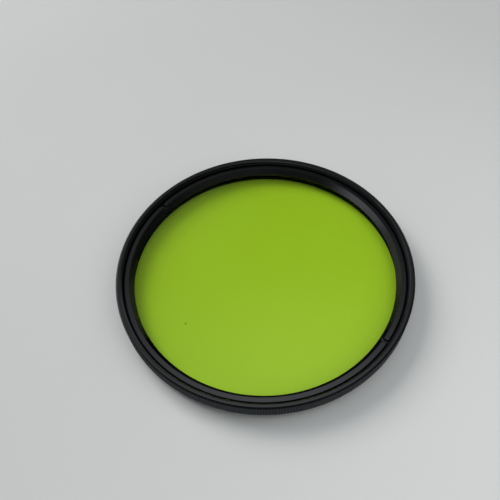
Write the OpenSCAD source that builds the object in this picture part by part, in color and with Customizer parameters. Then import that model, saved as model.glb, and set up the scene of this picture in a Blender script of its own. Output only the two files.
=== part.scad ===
// Round screw-in lens filter: a knurled mount ring, a coloured glass disc and a slotted retaining ring.
// The origin is the centre of the rear thread's end face, on which the filter rests. Z points to the front.

/* [Threads] */
// Nominal diameter of the filter thread, female at the front and male at the rear
thread_d = 77; // [60:1:95]
// Pitch of the filter thread
thread_pitch = 0.75; // [0.5:0.25:1]
// Height of the male thread below the flange
rear_thread_h = 2.6; // [2:0.1:3.4]
// Length of the plain groove between the male thread and the flange
relief_h = 0.6; // [0.4:0.1:1]
// Depth of that groove below the outside of the male thread
relief_depth = 0.55; // [0.5:0.05:0.7]
// Chamfer on the end of the male thread
thread_end_chamfer = 0.4; // [0.2:0.05:0.5]
// Depth of the front recess, from the rim down to the retaining ring
front_depth = 1.4; // [1:0.1:3]

/* [Rim and flange] */
// Wall of the rim, from the outside of the thread to the tips of the knurl
rim_wall = 1.2; // [1:0.1:3]
// Radial width of the chamfer on the outer top edge of the rim
rim_chamfer_w = 0.5; // [0.3:0.05:0.6]
// Height of that chamfer
rim_chamfer_h = 0.3; // [0.2:0.05:0.5]
// Chamfer on the lower outer edge of the flange, both ways
flange_chamfer = 0.4; // [0.3:0.05:0.6]
// Radial width of the lead-in chamfer at the mouth of the front thread
mouth_w = 0.45; // [0.3:0.05:0.6]
// Height of that lead-in chamfer
mouth_h = 0.4; // [0.2:0.05:0.6]

/* [Knurl] */
// Number of straight teeth round the flange
knurl_teeth = 360; // [120:10:400]
// Depth of the teeth
knurl_depth = 0.25; // [0.15:0.01:0.28]

/* [Glass] */
// Thickness of the glass
glass_t = 2; // [1:0.1:3.5]
// Bevel ground on both edges of the glass
glass_bevel = 0.2; // [0.1:0.05:0.3]
// Gap between the edge of the glass and its pocket
glass_gap = 0.1; // [0.05:0.05:0.3]
// Step in from the bore that holds the retaining ring to the pocket that holds the glass
pocket_step = 0.4; // [0.3:0.05:1]
// Thickness of the mount under the glass
seat_h = 1.4; // [1.2:0.1:3]
// Width of the ledge that carries the glass
seat_w = 1.3; // [0.8:0.1:2]
// Chamfer on the rear mouth of the mount
rear_chamfer = 0.3; // [0.1:0.05:0.5]

/* [Retaining ring] */
// Height of the retaining ring
ring_h = 2.2; // [2:0.1:3]
// Gap between the retaining ring and its bore in the mount
ring_gap = 0.05; // [0.02:0.01:0.15]
// Step in from the front thread to the bore that holds the retaining ring
ring_step = 0.4; // [0.4:0.05:0.8]
// Radial width of the ring's flat front face
ring_face_w = 1.25; // [0.8:0.05:1.5]
// Radial width of the bevel towards the glass
bevel_w = 1.05; // [0.8:0.05:1.5]
// Height of that bevel
bevel_h = 1.7; // [1:0.05:1.8]
// Height of the groove that the front thread runs out in, which starts level with the retaining ring's face
groove_h = 0.6; // [0.3:0.1:1]
// Small chamfer on the ring's outer front edge
ring_edge = 0.12; // [0.05:0.01:0.2]
// How far the top of the glass stands above the shoulder of its pocket
clamp_gap = 0.2; // [0.1:0.05:0.4]
// Width of the two spanner slots
slot_w = 0.8; // [0.5:0.1:1.5]
// Depth of the spanner slots
slot_depth = 0.7; // [0.4:0.1:1.1]
// Direction of the spanner slots, counted from the X axis
slot_angle = -41; // [-90:1:90]

/* [Hidden] */
$fn = 360;

// Depth of the female thread, as a share of its pitch
FEMALE_THREAD_SHARE = 0.5413;
// Room beyond a surface, so that a cut passes clean through it
CUT_MARGIN = 1;
// How far the blank stands out past the tips of the knurl, so that its chamfers run out over the teeth
BLANK_ROOM = 0.2;

// Radii of the mount, from the outside in
thread_r = thread_d / 2;
knurl_tip_r = thread_r + rim_wall;
knurl_root_r = knurl_tip_r - knurl_depth;
blank_r = knurl_tip_r + BLANK_ROOM;
relief_r = thread_r - relief_depth;
front_bore_r = thread_r - FEMALE_THREAD_SHARE * thread_pitch;
ring_bore_r = front_bore_r - ring_step;

// Radii of the retaining ring
ring_r = ring_bore_r - ring_gap;
ring_face_r = ring_r - ring_face_w;
ring_inner_r = ring_face_r - bevel_w;

// Radii of the glass, its pocket and the clear bore behind it
pocket_r = ring_bore_r - pocket_step;
glass_r = pocket_r - glass_gap;
rear_bore_r = pocket_r - seat_w;

// Heights, from the rear end up
glass_top_z = seat_h + glass_t;
shoulder_z = glass_top_z - clamp_gap;
ring_top_z = glass_top_z + ring_h;
groove_z = ring_top_z - groove_h;
total_h = ring_top_z + front_depth;
flange_z = rear_thread_h;

// Half of the mount's section, turned about the Z axis, before the knurl is cut in its wider blank
module mount_section() {
    polygon([
        [rear_bore_r + rear_chamfer, 0],
        [thread_r - thread_end_chamfer, 0],
        [thread_r, thread_end_chamfer],
        [thread_r, flange_z - relief_h],
        [relief_r, flange_z - relief_h],
        [relief_r, flange_z],
        [knurl_tip_r - flange_chamfer, flange_z],
        [blank_r, flange_z + flange_chamfer + BLANK_ROOM],
        [blank_r, total_h - rim_chamfer_h * (1 + BLANK_ROOM / rim_chamfer_w)],
        [knurl_tip_r - rim_chamfer_w, total_h],
        [front_bore_r + mouth_w, total_h],
        [front_bore_r, total_h - mouth_h],
        [front_bore_r, ring_top_z],
        [thread_r, ring_top_z],
        [thread_r, groove_z],
        [ring_bore_r, groove_z],
        [ring_bore_r, shoulder_z],
        [pocket_r, shoulder_z],
        [pocket_r, seat_h],
        [rear_bore_r, seat_h],
        [rear_bore_r, rear_chamfer],
    ]);
}

// Outline of the knurl: a sharp tooth and a sharp valley in turn
module knurl_outline() {
    step = 180 / knurl_teeth;
    polygon([
        for (i = [0 : 2 * knurl_teeth - 1])
            let (r = i % 2 == 0 ? knurl_tip_r : knurl_root_r)
                r * [cos(i * step), sin(i * step)]
    ]);
}

// Turned mount: knurled flange, front and rear threads, glass seat
module mount_ring() {
    color("#1b1c1e")
    intersection() {
        rotate_extrude() mount_section();
        translate([0, 0, -CUT_MARGIN])
        linear_extrude(total_h + 2 * CUT_MARGIN) knurl_outline();
    }
}

// Coloured glass disc with ground edges
module filter_glass() {
    color("#93bd26")
    translate([0, 0, seat_h])
    rotate_extrude()
    polygon([
        [0, 0],
        [glass_r - glass_bevel, 0],
        [glass_r, glass_bevel],
        [glass_r, glass_t - glass_bevel],
        [glass_r - glass_bevel, glass_t],
        [0, glass_t],
    ]);
}

// Half of the retaining ring's section, with its foot at height 0
module retaining_section() {
    polygon([
        [ring_inner_r, 0],
        [ring_r, 0],
        [ring_r, ring_h - ring_edge],
        [ring_r - ring_edge, ring_h],
        [ring_face_r, ring_h],
        [ring_inner_r, ring_h - bevel_h],
    ]);
}

// Retaining ring, which presses the glass on its seat, with two spanner slots cut across it
module retaining_ring() {
    slot_length = 2 * (ring_r + CUT_MARGIN);
    color("#232427")
    translate([0, 0, glass_top_z])
    difference() {
        rotate_extrude() retaining_section();
        rotate([0, 0, slot_angle])
        translate([-slot_length / 2, -slot_w / 2, ring_h - slot_depth])
        cube([slot_length, slot_w, slot_depth + CUT_MARGIN]);
    }
}

mount_ring();
filter_glass();
retaining_ring();
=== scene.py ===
"""Looks of a round screw-in lens filter, in metres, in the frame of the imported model.

The visible pieces are turned from the same sections as the solids that they stand for, with true
helical threads, a knurl that runs out over the chamfers and small round edges. The floor, lamps and
camera come last.
"""

import math

import bmesh
import bpy
from mathutils import Matrix, Vector


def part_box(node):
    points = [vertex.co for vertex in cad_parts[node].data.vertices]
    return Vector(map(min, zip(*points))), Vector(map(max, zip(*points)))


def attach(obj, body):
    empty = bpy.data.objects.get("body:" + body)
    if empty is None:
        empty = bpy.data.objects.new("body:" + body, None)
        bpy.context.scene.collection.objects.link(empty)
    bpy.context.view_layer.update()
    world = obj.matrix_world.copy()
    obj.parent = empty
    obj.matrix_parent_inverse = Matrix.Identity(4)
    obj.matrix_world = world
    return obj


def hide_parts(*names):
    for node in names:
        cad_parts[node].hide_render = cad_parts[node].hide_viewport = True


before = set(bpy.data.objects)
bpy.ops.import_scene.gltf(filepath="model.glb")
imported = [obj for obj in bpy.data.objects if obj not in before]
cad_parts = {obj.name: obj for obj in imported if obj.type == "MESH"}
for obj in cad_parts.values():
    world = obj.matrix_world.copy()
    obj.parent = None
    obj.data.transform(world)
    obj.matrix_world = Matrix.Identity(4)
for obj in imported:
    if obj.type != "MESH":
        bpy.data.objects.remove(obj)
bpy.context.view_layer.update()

MM = 0.001
BODY = "root"

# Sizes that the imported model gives
mount_low, mount_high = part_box("mount_ring")
glass_low, glass_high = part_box("filter_glass")
ring_low, ring_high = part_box("retaining_ring")
TIP_R = mount_high.x
FLOOR_Z = mount_low.z
TOP_Z = mount_high.z
GLASS_R = glass_high.x
GLASS_FOOT_Z = glass_low.z
GLASS_TOP_Z = glass_high.z
RING_R = ring_high.x
RING_FOOT_Z = ring_low.z
RING_TOP_Z = ring_high.z

# Filter thread with the basic 60 degree profile. Its flats are shares of the pitch, and the outer
# heights are those of an outer flat at angle 0.
THREAD_R = 38.5 * MM
PITCH = 0.75 * MM
THREAD_DEPTH = 0.5413 * PITCH
OUTER_FLAT = 1 / 8
INNER_FLAT = 1 / 4
THREAD_STEPS = 16
FRONT_OUTER_Z = TOP_Z - 0.85 * MM - PITCH / 4
REAR_OUTER_Z = 0.55 * MM
REAR_THREAD_TOP_Z = 2.0 * MM

# Knurl. The flat tip of a tooth is a share of the way to the next one.
KNURL_TEETH = 360
KNURL_DEPTH = 0.25 * MM
KNURL_ROOT_R = TIP_R - KNURL_DEPTH
TOOTH_FLAT = 0.145

# Section of the mount
RIM_CHAMFER_W = 0.5 * MM
RIM_CHAMFER_H = 0.3 * MM
MOUTH_W = 0.45 * MM
MOUTH_H = 0.4 * MM
MOUTH_R = THREAD_R - THREAD_DEPTH + MOUTH_W
FLANGE_Z = 2.6 * MM
FLANGE_CHAMFER = 0.4 * MM
RELIEF_R = 37.95 * MM
RING_BORE_R = RING_R + 0.05 * MM
GROOVE_Z = RING_TOP_Z - 0.6 * MM
SHOULDER_Z = GLASS_TOP_Z - 0.2 * MM
POCKET_R = GLASS_R + 0.1 * MM
REAR_BORE_R = POCKET_R - 1.3 * MM
REAR_CHAMFER = 0.3 * MM
END_CHAMFER = 0.4 * MM

# Section of the retaining ring
RING_EDGE = 0.12 * MM
RING_FACE_R = RING_R - 1.25 * MM
RING_INNER_R = RING_FACE_R - 1.05 * MM
RING_BEVEL_H = 1.7 * MM
SLOT_W = 0.8 * MM
SLOT_DEPTH = 0.7 * MM
SLOT_ANGLE = -41

# Glass. The rings of its faces are shares of their radius.
GLASS_BEVEL = 0.2 * MM
GLASS_RINGS = (0.15, 0.3, 0.45, 0.6, 0.75, 0.88)
SPECK_PLACE = (-21.3 * MM, -14.5 * MM, GLASS_TOP_Z)
SPECK_R = 0.3 * MM

# Mesh work
EDGE_R = 0.1 * MM
EDGE_STEPS = 3
SMALL_EDGE = EDGE_R / 3
WELD = 0.0002 * MM
SNAP = 0.004 * MM
SHARP_ANGLE = math.radians(30)
CUT_MARGIN = 1 * MM

# Black anodising. Warmth below 0 is cool.
COOL = -0.08
COOL_RING = -0.05
# The knurl's lighter grey is a painted reflection: it stands in for the pale floor that its low gloss
# no longer reflects.
KNURL_PAINTED_REFLECTION_GREY = 0.068
KNURL_GLOSS = 0.08
WORN_LEVEL = 0.11
ANODISED_ROUGHNESS = (0.20, 0.28)

# Colours of the glass: face on, edge on, the coating's reflection, the speck, and the light let through
GLASS_TINTS = ((0.68, 0.89, 0.148, 1), (0.71, 0.91, 0.163, 1))
GLASS_DEEP = (0.30, 0.40, 0.06, 1)
COATING = (0.3, 0.32, 0.3, 1)
SPECK_COLOUR = (0.10, 0.16, 0.01, 1)
LIGHT_THROUGH = (0.83, 0.94, 0.40, 1)
WHITE = (1, 1, 1, 1)

# Stage
FLOOR_R = 1.1
FLOOR_SIDES = 96
FLOOR_COLOURS = ((0.60, 0.61, 0.60, 1), (0.63, 0.64, 0.63, 1))
BACKDROP_COLOUR = (0.97, 0.98, 0.97, 1)
BACKDROP_LIGHT = 0.62
SKY_COLOUR = (0.92, 0.95, 1.0, 1)
SKY_LIGHT = 0.06

# Glows in the sky: azimuth, elevation, angles from the middle where the fade starts and ends, strength
SKY_GLOWS = (
    (90, 84, 10, 30, 1.15),
    (90, 45, 30, 75, 0.05),
    (66, 65, 2, 18, 0.16),
    (112, 50, 2, 18, 0.28),
    (147, 8, 5, 32, 1.2),
    (186, 7, 5, 28, 1.35),
    (60, 6, 6, 28, 0.7),
    (292, 14, 10, 45, 0.06),
)

# Lamps: name, azimuth, elevation, distance, size, level, colour
LAMPS = (
    ("key_soft", 138, 42, 0.9, 0.5, 0.70, (1.0, 0.99, 0.97)),
    ("fill_soft", 322, 50, 0.18, 0.16, 0.37, (0.98, 1.0, 0.99)),
)

# Camera
CAMERA_LENS = 38.81
CAMERA_ELEVATION = 54.27
CAMERA_ROLL = -4.227
CAMERA_PLACE = (-3.382 * MM, -81.115 * MM, 126.335 * MM)


def clamped(value, low, high, snap=0.0):
    """Value kept between low and high, and put on the end that it comes within snap of."""
    if value < low + snap:
        return low
    if value > high - snap:
        return high
    return value


def fillet(before, corner, after):
    """Points of a round edge that takes the place of a section's corner."""
    corner = Vector(corner)
    back = (Vector(before) - corner).normalized()
    ahead = (Vector(after) - corner).normalized()
    half = back.angle(ahead) / 2
    reach = EDGE_R / math.tan(half)
    centre = corner + (back + ahead).normalized() * (EDGE_R / math.sin(half))
    start = corner + back * reach - centre
    end = corner + ahead * reach - centre
    shares = [i / EDGE_STEPS for i in range(EDGE_STEPS + 1)]
    arc = [start.lerp(end, share).normalized() * EDGE_R + centre for share in shares]
    return [(p.x, p.y) for p in arc]


def band(bm, angles, profile):
    """Joins the sections that profile(angle) gives into a strip round the axis.

    The last column lies on the first, and welding joins the two.
    """
    columns = []
    for angle in angles:
        cos, sin = math.cos(angle), math.sin(angle)
        columns.append([bm.verts.new((r * cos, r * sin, z)) for r, z in profile(angle)])
    for left, right in zip(columns, columns[1:]):
        for i in range(len(left) - 1):
            bm.faces.new((left[i], right[i], right[i + 1], left[i + 1]))
    return columns


def stitch(bm, fine, coarse):
    """Joins two circles in one plane, of which fine has several points for each step of coarse."""
    share = (len(fine) - 1) // (len(coarse) - 1)
    for i in range(len(coarse) - 1):
        run = fine[i * share:(i + 1) * share + 1]
        bm.faces.new([coarse[i]] + run + [coarse[i + 1]])


def disc(bm, angles, radii, z):
    """A flat face of rings of quads round a fan."""
    rings = [[bm.verts.new((r * math.cos(a), r * math.sin(a), z)) for a in angles] for r in radii]
    for inner, outer in zip(rings, rings[1:]):
        for i in range(len(angles) - 1):
            bm.faces.new((inner[i], inner[i + 1], outer[i + 1], outer[i]))
    centre = bm.verts.new((0, 0, z))
    for i in range(len(angles) - 1):
        bm.faces.new((centre, rings[0][i], rings[0][i + 1]))


def turns(count):
    """Angles of count equal steps, from 0 to a full turn."""
    return [2 * math.pi * i / count for i in range(count + 1)]


def made(name, bm):
    """A new object of the mesh, welded and with its normals turned outwards."""
    bmesh.ops.remove_doubles(bm, verts=bm.verts, dist=WELD)
    bmesh.ops.recalc_face_normals(bm, faces=bm.faces)
    mesh = bpy.data.meshes.new(name)
    bm.to_mesh(mesh)
    bm.free()
    obj = bpy.data.objects.new(name, mesh)
    bpy.context.scene.collection.objects.link(obj)
    return obj


def finish_piece(obj, material, node):
    """Shades a piece, gives it its material and puts it in the place of its node."""
    obj.data.shade_smooth()
    obj.data.set_sharp_from_angle(angle=SHARP_ANGLE)
    obj.data.materials.clear()
    obj.data.materials.append(material)
    normals = obj.modifiers.new("even_faces", "WEIGHTED_NORMAL")
    normals.keep_sharp = True
    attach(obj, BODY)
    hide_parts(node)


def apply_modifiers(obj):
    """Puts the result of an object's modifiers in its mesh."""
    graph = bpy.context.evaluated_depsgraph_get()
    mesh = bpy.data.meshes.new_from_object(obj.evaluated_get(graph))
    obj.modifiers.clear()
    obj.data = mesh


def thread_r(turn):
    """Radius of the thread profile, a whole turn from one outer flat to the next."""
    off = abs(turn - round(turn))
    flank = 0.5 - OUTER_FLAT / 2 - INNER_FLAT / 2
    return THREAD_R - THREAD_DEPTH * clamped((off - OUTER_FLAT / 2) / flank, 0, 1)


def thread_rows(angle, low, high, outer_z, cut):
    """Section of a right-hand thread from low to high at one angle.

    outer_z is the height of an outer flat at angle 0, and cut(height, radius) makes the end's chamfer.
    """
    turn = angle / (2 * math.pi)
    first = math.floor((low - outer_z) / PITCH - 1) * THREAD_STEPS
    last = math.ceil((high - outer_z) / PITCH + 1) * THREAD_STEPS
    rows = []
    for i in range(first, last + 1):
        z = clamped(outer_z + PITCH * (turn + i / THREAD_STEPS), low, high, SNAP)
        rows.append((cut(z, thread_r((z - outer_z) / PITCH - turn)), z))
    return rows


def mouth_cut(z, r):
    """Radius in the front thread, where the mouth's chamfer has cut its crests."""
    return max(r, MOUTH_R - (TOP_Z - z) * MOUTH_W / MOUTH_H)


def end_cut(z, r):
    """Radius of the rear thread, where the end chamfer has cut its crests."""
    return min(r, THREAD_R - END_CHAMFER + z)


def bore_profile(angle):
    """Inside of the mount and its rear thread, from the rim's inner edge round to the flange."""
    front = thread_rows(angle, RING_TOP_Z, TOP_Z, FRONT_OUTER_Z, mouth_cut)
    rear = thread_rows(angle, 0, REAR_THREAD_TOP_Z, REAR_OUTER_Z, end_cut)
    return (
        fillet((TIP_R, TOP_Z), (MOUTH_R, TOP_Z), (MOUTH_R - MOUTH_W, TOP_Z - MOUTH_H))[:-1]
        + [(min(r, MOUTH_R - SMALL_EDGE), z) for r, z in reversed(front)]
        + [
            (THREAD_R, RING_TOP_Z),
            (THREAD_R, GROOVE_Z),
            (RING_BORE_R, GROOVE_Z),
            (RING_BORE_R, SHOULDER_Z),
            (POCKET_R, SHOULDER_Z),
            (POCKET_R, GLASS_FOOT_Z),
            (REAR_BORE_R, GLASS_FOOT_Z),
            (REAR_BORE_R, REAR_CHAMFER),
            (REAR_BORE_R + REAR_CHAMFER, 0),
        ]
        + rear
        + [(RELIEF_R, REAR_THREAD_TOP_Z), (RELIEF_R, FLANGE_Z)]
    )


def knurl_angles():
    """Angles of each tooth's flat tip and of the valley after it."""
    step = 2 * math.pi / KNURL_TEETH
    angles = []
    for tooth in range(KNURL_TEETH):
        angles += [(tooth + share) * step for share in (-TOOTH_FLAT / 2, TOOTH_FLAT / 2, 0.5)]
    return angles + [angles[0] + 2 * math.pi]


def knurl_profile(angle):
    """Outside of the flange. The teeth run out over the chamfers, so a valley meets them lower down."""
    share = angle * KNURL_TEETH / (2 * math.pi)
    in_valley = abs(share - round(share)) > TOOTH_FLAT
    r = KNURL_ROOT_R if in_valley else TIP_R
    foot_r = TIP_R - FLANGE_CHAMFER
    top_r = TIP_R - RIM_CHAMFER_W
    top = (r, TOP_Z - (r - top_r) * RIM_CHAMFER_H / RIM_CHAMFER_W)
    return [
        (foot_r, FLANGE_Z),
        (r, FLANGE_Z + r - foot_r),
        top,
        *fillet(top, (top_r, TOP_Z), (top_r - RIM_CHAMFER_W, TOP_Z)),
    ]


def build_mount():
    """The mount, in one piece as it is turned: knurled flange, both threads, glass pocket and seat."""
    bm = bmesh.new()
    outside = band(bm, knurl_angles(), knurl_profile)
    inside = band(bm, turns(KNURL_TEETH), bore_profile)
    stitch(bm, [column[-1] for column in outside], [column[0] for column in inside])
    stitch(bm, [column[0] for column in outside], [column[-1] for column in inside])
    return made("knurled_mount", bm)


def slot_cutter():
    """The bar that the two spanner slots are cut with."""
    bm = bmesh.new()
    bmesh.ops.create_cube(bm, size=1)
    cutter = made("slot_cutter", bm)
    height = SLOT_DEPTH + CUT_MARGIN
    cutter.matrix_world = (
        Matrix.Translation((0, 0, RING_TOP_Z - SLOT_DEPTH + height / 2))
        @ Matrix.Rotation(math.radians(SLOT_ANGLE), 4, "Z")
        @ Matrix.Diagonal((2 * (RING_R + CUT_MARGIN), SLOT_W, height, 1))
    )
    return cutter


def build_retaining_ring():
    """The retaining ring with its two spanner slots and softly broken edges."""
    bm = bmesh.new()
    section = [
        (RING_INNER_R, RING_FOOT_Z),
        (RING_R, RING_FOOT_Z),
        (RING_R, RING_TOP_Z - RING_EDGE),
        (RING_R - RING_EDGE, RING_TOP_Z),
        (RING_FACE_R, RING_TOP_Z),
        (RING_INNER_R, RING_TOP_Z - RING_BEVEL_H),
        (RING_INNER_R, RING_FOOT_Z),
    ]
    band(bm, turns(KNURL_TEETH), lambda angle: section)
    ring = made("slotted_ring", bm)

    cutter = slot_cutter()
    cut = ring.modifiers.new("slots", "BOOLEAN")
    cut.object = cutter
    cut.operation = "DIFFERENCE"
    cut.solver = "EXACT"
    broken = ring.modifiers.new("edges", "BEVEL")
    broken.width = SMALL_EDGE
    broken.segments = 2
    broken.limit_method = "ANGLE"
    broken.angle_limit = SHARP_ANGLE
    apply_modifiers(ring)
    bpy.data.objects.remove(cutter)
    return ring


def build_glass():
    """The glass disc with its ground bevels."""
    bm = bmesh.new()
    angles = turns(KNURL_TEETH)
    face_r = GLASS_R - GLASS_BEVEL
    edge = [
        (face_r, GLASS_FOOT_Z),
        (GLASS_R, GLASS_FOOT_Z + GLASS_BEVEL),
        (GLASS_R, GLASS_TOP_Z - GLASS_BEVEL),
        (face_r, GLASS_TOP_Z),
    ]
    band(bm, angles, lambda angle: edge)
    radii = [face_r * share for share in GLASS_RINGS] + [face_r]
    disc(bm, angles, radii, GLASS_FOOT_Z)
    disc(bm, angles, radii, GLASS_TOP_Z)
    return made("coloured_glass", bm)


def new_tree(name):
    """A material with an empty node tree, and that tree."""
    material = bpy.data.materials.new(name)
    material.use_nodes = True
    tree = material.node_tree
    tree.nodes.clear()
    return material, tree


def add(tree, kind, settings=None, **values):
    """Adds a node and returns it.

    settings are its properties. values are its inputs by name, or by number as in0, in1 and so on, and
    each is a number, a colour or an output to link.
    """
    made_node = tree.nodes.new("ShaderNode" + kind)
    for name, value in (settings or {}).items():
        setattr(made_node, name, value)
    for name, value in values.items():
        numbered = name.startswith("in") and name[2:].isdigit()
        key = int(name[2:]) if numbered else name.replace("_", " ")
        socket = made_node.inputs[key]
        if isinstance(value, bpy.types.NodeSocket):
            tree.links.new(value, socket)
        else:
            socket.default_value = value
    return made_node


def math_node(tree, operation, *values):
    """A Math node's output."""
    inputs = {f"in{i}": value for i, value in enumerate(values)}
    return add(tree, "Math", {"operation": operation}, **inputs).outputs[0]


def mix_colour(tree, share, first, second):
    """Output of a colour mix, with the share of the second."""
    node = add(tree, "Mix", {"data_type": "RGBA"}, in0=share, in6=first, in7=second)
    return node.outputs[2]


def from_to(tree, value, low, high, to_low, to_high, smooth=False):
    """A value mapped from one range to another, kept within it."""
    kind = {"interpolation_type": "SMOOTHSTEP" if smooth else "LINEAR"}
    inputs = {"From Min": low, "From Max": high, "To Min": to_low, "To Max": to_high}
    return add(tree, "MapRange", kind, Value=value, **inputs).outputs[0]


def grey(level, warmth=0.0):
    """A near-neutral colour, warmer or cooler."""
    return (level * (1 + warmth), level, level * (1 - warmth), 1)


def object_place(tree):
    """A surface point's place, its distance from the axis and its height."""
    place = add(tree, "TexCoord").outputs["Object"]
    axes = add(tree, "SeparateXYZ", Vector=place)
    flat = add(tree, "CombineXYZ", X=axes.outputs[0], Y=axes.outputs[1])
    length = add(tree, "VectorMath", {"operation": "LENGTH"}, in0=flat.outputs[0])
    return place, length.outputs["Value"], axes.outputs[2]


def knurl_share(tree, radius, height):
    """1 on the knurled wall, and 0 elsewhere, also on the rim's chamfer above it."""
    outside = from_to(tree, radius, KNURL_ROOT_R - EDGE_R, KNURL_ROOT_R, 0, 1)
    chamfer_foot_z = TOP_Z - RIM_CHAMFER_H
    on_wall = from_to(tree, height, chamfer_foot_z - EDGE_R, chamfer_foot_z, 1, 0)
    return math_node(tree, "MULTIPLY", outside, on_wall)


def anodised_colour(tree, radius, knurled, patches, dark, light, wear):
    """Uneven black, a painted reflection as lighter grey on the knurl, rubbed pale on the teeth's tips.
    """
    colour = mix_colour(tree, from_to(tree, patches, 0.3, 0.7, 0, 1), dark, light)
    # Painted reflection: the knurl turns lighter grey in place of the floor's reflection in it.
    colour = mix_colour(tree, knurled, colour, grey(KNURL_PAINTED_REFLECTION_GREY, COOL))
    tips = from_to(tree, radius, TIP_R - 0.10 * MM, TIP_R - 0.01 * MM, 0, 1)
    rub = from_to(tree, patches, 0.45, 0.65, 0.15, 1)
    worn = math_node(tree, "MULTIPLY", math_node(tree, "MULTIPLY", tips, rub), wear)
    return mix_colour(tree, worn, colour, grey(WORN_LEVEL))


def anodised_gloss(tree, radius, height, knurled, gloss, inner_r, inner_gloss, grazing_range):
    """Level of the gloss: inner_gloss within inner_r, little on the knurl and none on an edge-on face.

    inner_r gives two radii, below and above the flange's underside, and counts below the retaining
    ring's face. The gloss fades over grazing_range, where 0 is a face on view and 1 an edge on one.
    """
    grazing = add(tree, "LayerWeight").outputs["Facing"]
    inner_edge = from_to(tree, height, FLANGE_Z, FLANGE_Z + EDGE_R, *inner_r)
    within = from_to(tree, math_node(tree, "SUBTRACT", radius, inner_edge), 0, EDGE_R, 1, 0)
    below = from_to(tree, height, RING_TOP_Z - EDGE_R / 2, RING_TOP_Z, 1, 0)
    inside = from_to(tree, math_node(tree, "MULTIPLY", within, below), 0, 1, gloss, inner_gloss)
    faded = from_to(tree, grazing, *grazing_range, 1, 0)
    handled = from_to(tree, knurled, 0, 1, 1, KNURL_GLOSS)
    return math_node(tree, "MULTIPLY", math_node(tree, "MULTIPLY", inside, faded), handled)


def anodised(name, levels, warmth, gloss, turned, wear, inner_r, inner_gloss, grazing_range):
    """Black anodising over a turned and finely blasted surface.

    levels are the darkest and the lightest grey, and turned is the depth of the turning lines.
    """
    material, tree = new_tree(name)
    place, radius, height = object_place(tree)
    along = math_node(tree, "ADD", radius, height)
    lines = add(
        tree, "TexNoise", {"noise_dimensions": "1D"}, W=along, Scale=9000, Detail=3, Roughness=0.6
    ).outputs[0]
    grain = add(tree, "TexNoise", Vector=place, Scale=9000, Detail=2, Roughness=0.55).outputs[0]
    patches = add(tree, "TexNoise", Vector=place, Scale=130, Detail=5, Roughness=0.6).outputs[0]
    smears = add(tree, "TexNoise", Vector=place, Scale=38, Detail=3, Roughness=0.5).outputs[0]

    knurled = knurl_share(tree, radius, height)
    dark, light = (grey(level, warmth) for level in levels)
    sheen = math_node(tree, "MULTIPLY", smears, 0.6)
    sheen = math_node(tree, "MULTIPLY_ADD", patches, 0.4, sheen)
    relief = math_node(tree, "ADD", math_node(tree, "MULTIPLY", lines, turned), grain)
    bump = add(tree, "Bump", Strength=0.35, Distance=0.006 * MM, Height=relief)
    shader = add(
        tree,
        "BsdfPrincipled",
        Base_Color=anodised_colour(tree, radius, knurled, patches, dark, light, wear),
        Roughness=from_to(tree, sheen, 0.35, 0.65, *ANODISED_ROUGHNESS),
        Specular_IOR_Level=anodised_gloss(
            tree, radius, height, knurled, gloss, inner_r, inner_gloss, grazing_range
        ),
        IOR=1.5,
        Normal=bump.outputs[0],
    )
    add(tree, "OutputMaterial", Surface=shader.outputs[0])
    return material


def coloured_glass():
    """Yellow-green glass with coated faces, faint smudges and one speck of dirt.

    It lets coloured light through.
    """
    material, tree = new_tree("filter_glass_yellow_green")
    place = add(tree, "TexCoord").outputs["Object"]
    cast = add(tree, "TexNoise", Vector=place, Scale=22, Detail=2, Roughness=0.5).outputs[0]
    tint = mix_colour(tree, cast, *GLASS_TINTS)

    speck = add(tree, "VectorMath", {"operation": "DISTANCE"}, in0=place, in1=SPECK_PLACE)
    uneven = add(tree, "TexNoise", Vector=place, Scale=4000, Detail=1).outputs[0]
    reach = math_node(tree, "MULTIPLY_ADD", uneven, SPECK_R * 0.8, speck.outputs["Value"])
    dirt = from_to(tree, reach, SPECK_R * 0.8, SPECK_R * 1.5, 1, 0)
    tint = mix_colour(tree, dirt, tint, SPECK_COLOUR)

    grazing = add(tree, "LayerWeight").outputs["Facing"]
    tint = mix_colour(tree, from_to(tree, grazing, 0.5, 0.95, 0, 1), tint, GLASS_DEEP)
    coating = mix_colour(tree, from_to(tree, grazing, 0.55, 0.85, 0, 1), COATING, WHITE)

    smudge = add(
        tree, "TexNoise", Vector=place, Scale=60, Detail=6, Roughness=0.7, Distortion=0.6
    ).outputs[0]
    glass = add(
        tree,
        "BsdfPrincipled",
        Base_Color=tint,
        Roughness=from_to(tree, smudge, 0.5, 0.75, 0.012, 0.06),
        IOR=1.52,
        Specular_Tint=coating,
        Transmission_Weight=1.0,
    )
    through = add(tree, "BsdfTransparent", Color=LIGHT_THROUGH)
    path = add(tree, "LightPath")
    lit = math_node(
        tree, "MAXIMUM", path.outputs["Is Shadow Ray"], path.outputs["Is Diffuse Ray"]
    )
    both = add(tree, "MixShader", in0=lit, in1=glass.outputs[0], in2=through.outputs[0])
    add(tree, "OutputMaterial", Surface=both.outputs[0])
    return material


def floor_material():
    """A plain pale floor."""
    material, tree = new_tree("pale_floor")
    place = add(tree, "TexCoord").outputs["Object"]
    cloud = add(tree, "TexNoise", Vector=place, Scale=14, Detail=3, Roughness=0.5).outputs[0]
    fibre = add(tree, "TexNoise", Vector=place, Scale=2500, Detail=3).outputs[0]
    bump = add(tree, "Bump", Strength=0.1, Distance=0.02 * MM, Height=fibre)
    shader = add(
        tree,
        "BsdfPrincipled",
        Base_Color=mix_colour(tree, cloud, *FLOOR_COLOURS),
        Roughness=0.75,
        Normal=bump.outputs[0],
    )
    add(tree, "OutputMaterial", Surface=shader.outputs[0])
    return material


def build_floor():
    """The floor, on which the filter lies."""
    bm = bmesh.new()
    height = Matrix.Translation((0, 0, FLOOR_Z))
    bmesh.ops.create_circle(bm, cap_ends=True, segments=FLOOR_SIDES, radius=FLOOR_R, matrix=height)
    floor = made("floor", bm)
    floor.data.materials.append(floor_material())


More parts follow.
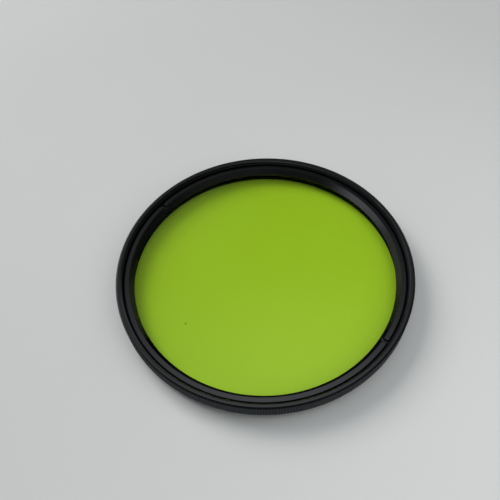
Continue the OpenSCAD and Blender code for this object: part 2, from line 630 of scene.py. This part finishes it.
def way_to(azimuth, elevation):
    """Unit vector towards a place in the sky, given in degrees, with the azimuth counted from +X."""
    turn, rise = math.radians(azimuth), math.radians(elevation)
    return Vector((math.cos(turn) * math.cos(rise), math.sin(turn) * math.cos(rise), math.sin(rise)))


def add_lamp(name, azimuth, elevation, distance, size, level, colour):
    """A square soft lamp aimed at the filter. level is the light on a surface that faces it."""
    data = bpy.data.lights.new(name, "AREA")
    data.shape = "SQUARE"
    data.size = size
    data.energy = level * math.pi**2 * distance**2
    data.color = colour
    lamp = bpy.data.objects.new(name, data)
    way = way_to(azimuth, elevation)
    lamp.location = way * distance
    lamp.rotation_mode = "QUATERNION"
    lamp.rotation_quaternion = way.to_track_quat("Z", "Y")
    lamp.visible_glossy = False
    lamp.visible_transmission = False
    bpy.context.scene.collection.objects.link(lamp)


def glow(tree, way, azimuth, elevation, inner, outer, strength):
    """A soft round glow in the sky, full within the inner angle and gone beyond the outer one."""
    middle = way_to(azimuth, elevation)
    near = add(tree, "VectorMath", {"operation": "DOT_PRODUCT"}, in0=way, in1=middle)
    edge = (math.cos(math.radians(outer)), math.cos(math.radians(inner)))
    return from_to(tree, near.outputs["Value"], *edge, 0, strength, smooth=True)


def build_world():
    """Soft studio light: a dim sky with soft glows in it, and a pale backdrop for the camera."""
    world = bpy.data.worlds.new("soft_studio")
    bpy.context.scene.world = world
    world.use_nodes = True
    tree = world.node_tree
    tree.nodes.clear()
    way = add(tree, "TexCoord").outputs["Generated"]
    strength = SKY_LIGHT
    for place in SKY_GLOWS:
        strength = math_node(tree, "ADD", glow(tree, way, *place), strength)
    light = add(tree, "Background", Color=SKY_COLOUR, Strength=strength)
    backdrop = add(tree, "Background", Color=BACKDROP_COLOUR, Strength=BACKDROP_LIGHT)
    seen = add(tree, "LightPath").outputs["Is Camera Ray"]
    both = add(tree, "MixShader", in0=seen, in1=light.outputs[0], in2=backdrop.outputs[0])
    add(tree, "OutputWorld", Surface=both.outputs[0])


def build_camera():
    """The camera, at the photograph's viewing angle."""
    data = bpy.data.cameras.new("camera")
    data.sensor_width = 36
    data.lens = CAMERA_LENS
    data.clip_start = 0.01
    data.clip_end = 20
    camera = bpy.data.objects.new("camera", data)
    camera.matrix_world = (
        Matrix.Translation(CAMERA_PLACE)
        @ Matrix.Rotation(math.radians(90 - CAMERA_ELEVATION), 4, "X")
        @ Matrix.Rotation(math.radians(CAMERA_ROLL), 4, "Z")
    )
    bpy.context.scene.collection.objects.link(camera)
    bpy.context.scene.camera = camera


mount_finish = anodised(
    "mount_anodised_black",
    levels=(0.0025, 0.0045),
    warmth=COOL,
    gloss=0.48,
    turned=0.5,
    wear=0.04,
    inner_r=(POCKET_R, THREAD_R),
    inner_gloss=0.05,
    grazing_range=(0.4, 0.7),
)
ring_finish = anodised(
    "ring_anodised_black",
    levels=(0.002, 0.004),
    warmth=COOL_RING,
    gloss=0.58,
    turned=0.8,
    wear=0.0,
    inner_r=(RING_FACE_R, RING_FACE_R),
    inner_gloss=0.75,
    grazing_range=(0.08, 0.6),
)

finish_piece(build_mount(), mount_finish, "mount_ring")
finish_piece(build_retaining_ring(), ring_finish, "retaining_ring")
finish_piece(build_glass(), coloured_glass(), "filter_glass")

build_floor()
build_world()
for lamp_values in LAMPS:
    add_lamp(*lamp_values)
build_camera()

bpy.context.scene.view_settings.view_transform = "Standard"
